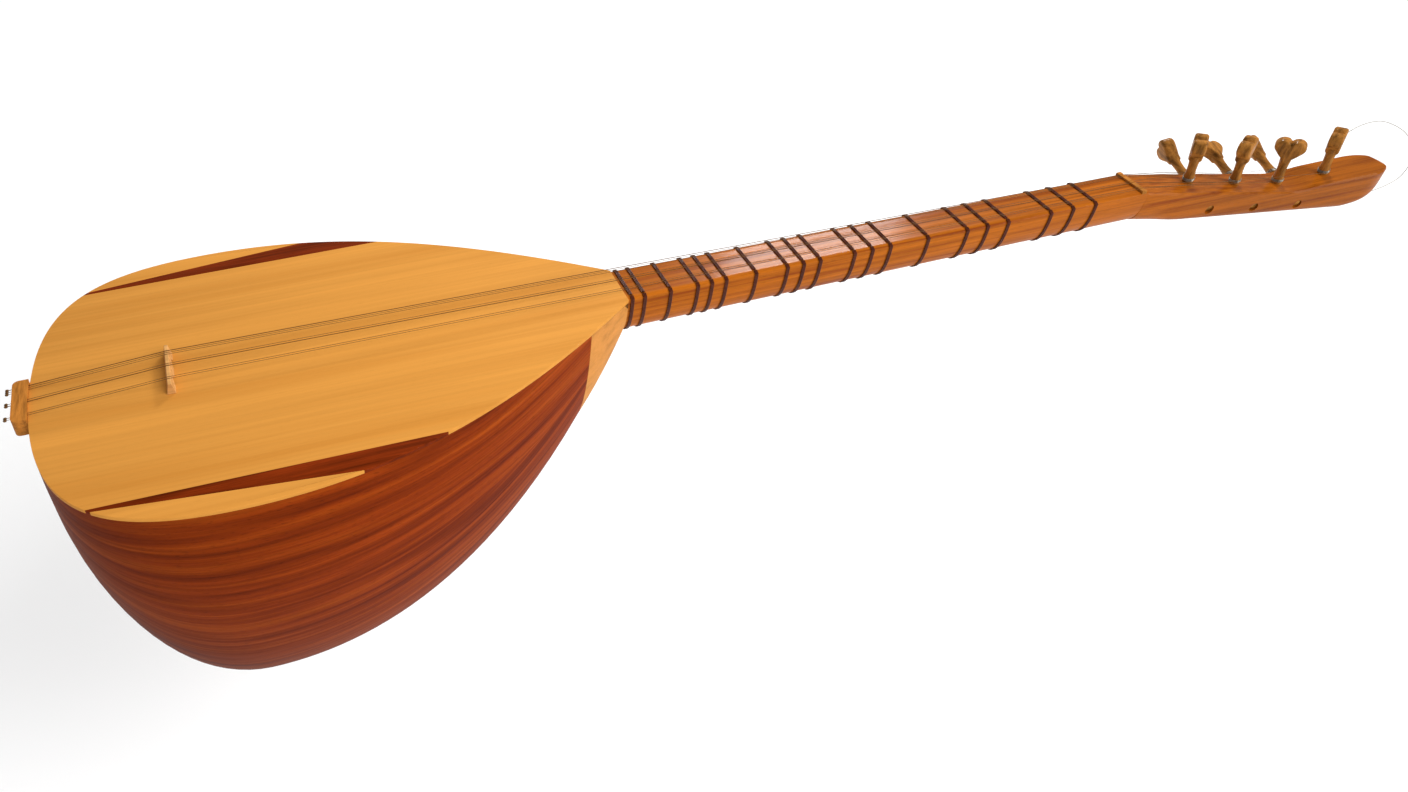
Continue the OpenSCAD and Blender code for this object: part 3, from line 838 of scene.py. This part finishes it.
def face_z(x):
    """Height of the head's face over the soundboard's top, with its small rise to the tip."""
    return -FACE_DROP - FACE_SLOPE * (min(x, LEVEL_X) - HEAD_START) + between(FACE_RISE, x - LEVEL_X)


def back_z(x):
    """Height of the head's back: straight, and then round to the tip."""
    reach = HEAD_END - TIP_LENGTH
    foot = -NECK_D_NUT - BACK_DROP - BACK_SLOPE * (min(x, reach) - HEAD_START)
    if x <= reach:
        return foot
    angles = [math.radians(a) for a in range(0, 76, 5)]
    curve = [(TIP_ARC[0] * math.sin(a), TIP_ARC[1] * (1 - math.cos(a))) for a in angles]
    tip = face_z(HEAD_END) - foot
    curve += [(TIP_LENGTH - 1 * MM, tip - 8 * MM), (TIP_LENGTH, tip - 0.6 * MM)]
    return foot + between(curve, x - reach)


def head_half(x):
    """Half the head's width at x, which closes in a round tip."""
    wide = mix(NECK_W_NUT / 2, HEAD_HALF, min(1.0, (x - HEAD_START) / WIDTH_CHANGE))
    left = min(1.0, (HEAD_END - x) / TIP_ROUND)
    return wide * math.sin(math.acos(1 - left)) ** 0.8 if left < 1 else wide


def head_outline(x, lower=48, upper=24, corner=1.4 * MM):
    """Points round the head at x: the neck's U turns into straight sides with rounded lower edges."""
    half, top, bottom = head_half(x), face_z(x), back_z(x)
    deep = top - bottom
    blend = smooth((x - HEAD_START) / SECTION_CHANGE)
    height = min(mix(deep, HEAD_ROUND_HEIGHT, blend), 0.8 * deep if blend else deep)
    bend = mix(NECK_ROUND, HEAD_ROUND, blend)
    corner = min(corner, half, deep / 3)
    points = []
    for k in range(lower + 1):
        a = math.pi * k / lower
        y = -half * power(math.cos(a), bend)
        points.append(Vector((x, y, bottom + height * (1 - abs(math.sin(a)) ** bend))))
    points[0].z = points[-1].z = min(points[0].z, top - corner)
    for k in range(upper):
        y = mix(half, -half, k / (upper - 1))
        near = min(1.0, (half - abs(y)) / corner)
        points.append(Vector((x, y, top - corner * (1 - math.sqrt(max(0.0, 1 - (1 - near) ** 2))))))
    return [p + Vector((0, 0, BOARD_Z)) for p in points]


def peg_place(name):
    """The matrix that puts a peg's own frame, Z along its shaft, at its joint."""
    number = int(name[-1]) - 1
    if name.startswith("front"):
        turn = Matrix.Rotation(-PEG_LEAN, 4, "Y") @ Matrix.Rotation(math.radians(FRONT_TURN[number]), 4, "Z")
    else:
        turn = (
            Matrix.Rotation(-SIDE_LEAN, 4, "Z")
            @ Matrix.Rotation(SIDE_LIFT - math.pi / 2, 4, "X")
            @ Matrix.Rotation(math.radians(SIDE_TURN[number]), 4, "Z")
        )
    return Matrix.Translation(JOINTS[f"{name}_turn"]["pos_m"]) @ turn


PEGS = [f"front_peg_{i}" for i in (1, 2, 3, 4)] + [f"side_peg_{i}" for i in (1, 2, 3)]
# From a peg's joint to the foot of its paddle
STEM = 24 * MM
# The paddle's outline over that foot: its narrow end, and a lobe's radius and centre
PADDLE_FOOT = ((2.4 * MM, -3 * MM), (3.4 * MM, 1 * MM), (6.2 * MM, 4.2 * MM))
LOBE, LOBE_OUT, LOBE_UP = 5.8 * MM, 4.6 * MM, 11.8 * MM
# Where the wound string starts over the joint, and its pitch in wire diameters
WIND_START = 2.8 * MM
WIND_PITCH = 1.08


class BAGLAMA_OT_head(bpy.types.Operator):
    """Build the head with its seven bores"""

    bl_idname = "baglama.head"
    bl_label = "Head"

    def execute(self, context):
        steps = 56
        # The last outline stops just short of the tip, and outlines lie closer together towards it
        last = HEAD_END - 0.15 * MM
        along = [math.sin(math.pi / 2 * j / steps) for j in range(steps + 1)]
        outlines = [head_outline(mix(HEAD_START, last, share)) for share in along]
        count = len(outlines[0])

        def place(u, v):
            return outlines[round(v * steps)][round(u * count) % count]

        head = surface("head_wood", count, steps, place, close=True, caps=True)
        head = drill(head, [(peg_place(name), PEG_D / 2 + BORE_GAP, BORE_LENGTH) for name in PEGS])
        finish_piece(head, "body", "peghead", "neck_wood", neck_wood())
        return {"FINISHED"}


class BAGLAMA_OT_pegs(bpy.types.Operator):
    """Build the seven pegs with the strings wound on them"""

    bl_idname = "baglama.pegs"
    bl_label = "Pegs"

    def execute(self, context):
        for name in PEGS:
            place = peg_place(name)
            low = place.inverted() @ frame["nodes"][name].matrix_world
            heights = [(low @ v.co).z for v in frame["nodes"][name].data.vertices]
            self.peg(name, place, min(heights))
        return {"FINISHED"}

    def peg(self, name, place, foot):
        """One peg: a turned shaft, a heart-shaped paddle on it, and its string wound round it."""
        shaft = self.shaft(foot)
        bm = self.paddle()
        bm.from_mesh(shaft)
        bpy.data.meshes.remove(shaft)
        bmesh.ops.transform(bm, matrix=place, verts=bm.verts)
        bmesh.ops.recalc_face_normals(bm, faces=bm.faces)
        grain_axis = 2 if name.startswith("front") else 1
        finish_piece(keep(f"{name}_wood", bm, crease=50), name, name, "peg_wood", peg_wood(grain_axis))

        wire = sizes().wind_wire
        around = (PEG_D + wire) / 2
        per_turn = 20
        path = []
        for k in range(sizes().wind_turns * per_turn + 1):
            a = 2 * math.pi * k / per_turn
            height = WIND_START + WIND_PITCH * wire * k / per_turn
            path.append(place @ Vector((around * math.cos(a), around * math.sin(a), height)))
        wound = tube(f"{name}_string", path, wire / 2, 6, up=place.to_3x3() @ Vector((0, 0, 1)))
        finish_piece(wound, name, name, "string_steel", pale_string())

    def shaft(self, foot):
        """A peg's shaft from its tip to inside its paddle, as a mesh: pairs of radius and height."""
        bm = bmesh.new()
        r = PEG_D / 2
        lathe(bm, [
            (0, foot), (r - 0.5 * MM, foot), (r, foot + 0.5 * MM), (r, 6 * MM), (r - 0.2 * MM, 7 * MM),
            (r - 0.6 * MM, 12 * MM), (r - 0.5 * MM, 17 * MM), (r, STEM - 1 * MM),
            (r + 0.3 * MM, STEM + 2 * MM), (r - 0.6 * MM, STEM + 6 * MM),
            (r - 2 * MM, STEM + 9 * MM), (0, STEM + 10 * MM),
        ])
        mesh = bpy.data.meshes.new("shaft")
        bm.to_mesh(mesh)
        bm.free()
        return mesh

    def paddle(self):
        """A peg's paddle: half a heart mirrored, given its thickness, with its edges rounded."""
        bm = bmesh.new()
        half = list(PADDLE_FOOT)
        for degrees in range(-40, 136, 16):
            a = math.radians(degrees)
            half.append((LOBE_OUT + LOBE * math.cos(a), LOBE_UP + LOBE * math.sin(a)))
        outline = half + [(0, LOBE_UP + 0.55 * LOBE)] + [(-x, z) for x, z in reversed(half)]
        thick = sizes().paddle_thick
        bm.faces.new([bm.verts.new((x, -thick / 2, STEM + z)) for x, z in outline])
        made = bmesh.ops.extrude_face_region(bm, geom=bm.faces[:])
        moved = [v for v in made["geom"] if isinstance(v, bmesh.types.BMVert)]
        bmesh.ops.translate(bm, verts=moved, vec=(0, thick, 0))
        bmesh.ops.recalc_face_normals(bm, faces=bm.faces)
        rim = [e for e in bm.edges if abs(e.verts[0].co.y - e.verts[1].co.y) < 1e-6]
        bmesh.ops.bevel(
            bm, geom=rim, offset=0.36 * thick, segments=6, profile=0.5,
            affect="EDGES", material=-1, clamp_overlap=True,
        )
        return bm


class BAGLAMA_OT_fittings(bpy.types.Operator):
    """Build the nut, the bridge and the tailpiece, and finish the strings"""

    bl_idname = "baglama.fittings"
    bl_label = "Fittings"

    def execute(self, context):
        for name, node_name, body, slot, material, width in (
            ("nut_wood", "nut", "body", "bridge_wood", tail_wood(), 0.3 * MM),
            ("bridge_wood", "bridge", "bridge", "bridge_wood", boxwood(), 0.35 * MM),
            ("tailpiece_wood", "tailpiece", "body", "tail_wood", tail_wood(), 0.7 * MM),
        ):
            finish_piece(rounded_copy(name, node_name, width), body, node_name, slot, material)
        for i in range(1, STRINGS + 1):
            dress(f"string_{i}", wound_string() if i in WOUND_STRINGS else plain_string())
        return {"FINISHED"}


# Route of the loose wire past its peg, in millimetres, with its height over the soundboard's top
LOOSE = [
    (199, 4.2, -20), (202, 6.5, -13), (211, 8, -2), (224, 8, 6), (243, 8, 7), (262, 7, 0), (280, 6, -11),
    (293, 4, -25), (298, 2, -39), (293, 0, -51), (281, -1, -57), (269, -1, -60), (262, -1, -61.5),
]
LOOSE_D = 0.5 * MM
LOOSE_STEPS = 6


def loose_path():
    """A smooth curve through the loose wire's points."""
    points = [Vector(p) * MM + Vector((0, 0, BOARD_Z)) for p in LOOSE]
    path = []
    for i in range(len(points) - 1):
        a, b, c, d = (points[min(max(j, 0), len(points) - 1)] for j in range(i - 1, i + 3))
        for k in range(LOOSE_STEPS):
            s = k / LOOSE_STEPS
            square = (2 * a - 5 * b + 4 * c - d) * s * s
            cube = (3 * b - a - 3 * c + d) * s**3
            path.append(0.5 * (2 * b + (c - a) * s + square + cube))
    return path + [points[-1]]


class BAGLAMA_OT_loose_wire(bpy.types.Operator):
    """Build the loose end of a string at the head"""

    bl_idname = "baglama.loose_wire"
    bl_label = "Loose wire"

    def execute(self, context):
        path = loose_path()
        wire = tube("loose_wire", path, LOOSE_D / 2, 8)
        finish_piece(wire, "body", "loose_string_end", "string_steel", pale_string())
        length = sum((b - a).length for a, b in zip(path, path[1:]))
        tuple(path[0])
        return {"FINISHED"}


# ---- stage ----
FLOOR_HALF = 14
SKY_STRENGTH = 0.42
# Name, kind, place, strength, and the sun's angle or the panel's side
LAMPS = (
    ("key", "SUN", (1.4, -1.9, 2.0), 2.9, math.radians(50)),
    ("gloss", "AREA", (0.75, 1.4, 1.25), 24, 0.4),
)
LAMPS_AIM = Vector((-0.45, 0, -0.05))
# Over the near side of the bowl, looking down and along the neck; turns are in degrees
CAMERA_PLACE = (-0.68175, -0.55465, 0.51095)
CAMERA_TURN = (50.453, 2.236, -14.601)
CAMERA_LENS = 27.536
CAMERA_SHIFT = (0.18906, -0.06221)


class BAGLAMA_OT_stage(bpy.types.Operator):
    """Set the floor, the lights and the camera"""

    bl_idname = "baglama.stage"
    bl_label = "Stage"

    def execute(self, context):
        scene = bpy.context.scene
        floor_z = CAD_BOX[0].z - sizes().floor_drop
        bm = bmesh.new()
        bmesh.ops.create_grid(bm, x_segments=2, y_segments=2, size=FLOOR_HALF)
        bmesh.ops.translate(bm, verts=bm.verts, vec=(0, 0, floor_z))
        floor = keep("floor", bm, rounded=False)
        # Matt white paper, without a sheen
        material, _, shader = new_material("matt_white_paper")
        shader.inputs["Base Color"].default_value = (0.93, 0.93, 0.93, 1)
        shader.inputs["Roughness"].default_value = 0.9
        floor.data.materials.append(material)

        world = bpy.data.worlds.new("studio")
        world.use_nodes = True
        sky = world.node_tree.nodes["Background"]
        sky.inputs["Color"].default_value = (1, 1, 1, 1)
        sky.inputs["Strength"].default_value = SKY_STRENGTH
        scene.world = world
        scene.view_settings.view_transform = "Standard"

        for name, kind, place, energy, wide in LAMPS:
            lamp = bpy.data.lights.new(name, kind)
            lamp.energy = energy
            if kind == "SUN":
                lamp.angle = wide
            else:
                lamp.size = wide
            thing = bpy.data.objects.new(name, lamp)
            thing.location = place
            thing.rotation_euler = (LAMPS_AIM - Vector(place)).to_track_quat("-Z", "Y").to_euler()
            bpy.context.collection.objects.link(thing)

        view = bpy.data.cameras.new("view")
        view.lens = CAMERA_LENS
        view.sensor_width = 36
        view.shift_x, view.shift_y = CAMERA_SHIFT
        view.clip_start = 10 * MM
        camera = bpy.data.objects.new("view", view)
        camera.location = CAMERA_PLACE
        camera.rotation_euler = [math.radians(a) for a in CAMERA_TURN]
        bpy.context.collection.objects.link(camera)
        scene.camera = camera
        return {"FINISHED"}


class BAGLAMA_PT_panel(bpy.types.Panel):
    """Sizes, colours and steps, in the sidebar"""

    bl_idname = "BAGLAMA_PT_panel"
    bl_label = "Baglama"
    bl_space_type = "VIEW_3D"
    bl_region_type = "UI"
    bl_category = "Baglama"

    def draw(self, context):
        for group in (context.scene.baglama_sizes, context.scene.baglama_colours):
            for name in group.bl_rna.properties.keys():
                if name not in ("rna_type", "name"):
                    self.layout.prop(group, name)
        for step in STEPS:
            self.layout.operator(step.bl_idname)


# The camera and the loose wire come first
STEPS = (
    BAGLAMA_OT_stage, BAGLAMA_OT_loose_wire, BAGLAMA_OT_bowl, BAGLAMA_OT_soundboard, BAGLAMA_OT_neck,
    BAGLAMA_OT_head, BAGLAMA_OT_pegs, BAGLAMA_OT_fittings,
)
CLASSES = (BaglamaSizes, BaglamaColours, *STEPS, BAGLAMA_PT_panel)


def register():
    for cls in CLASSES:
        bpy.utils.register_class(cls)
    bpy.types.Scene.baglama_sizes = PointerProperty(type=BaglamaSizes)
    bpy.types.Scene.baglama_colours = PointerProperty(type=BaglamaColours)


def unregister():
    del bpy.types.Scene.baglama_colours
    del bpy.types.Scene.baglama_sizes
    for cls in reversed(CLASSES):
        bpy.utils.unregister_class(cls)


def main():
    """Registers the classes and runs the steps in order."""
    register()
    for step in STEPS:
        group, name = step.bl_idname.split(".")
        getattr(getattr(bpy.ops, group), name)()


if __name__ == "__main__":
    main()
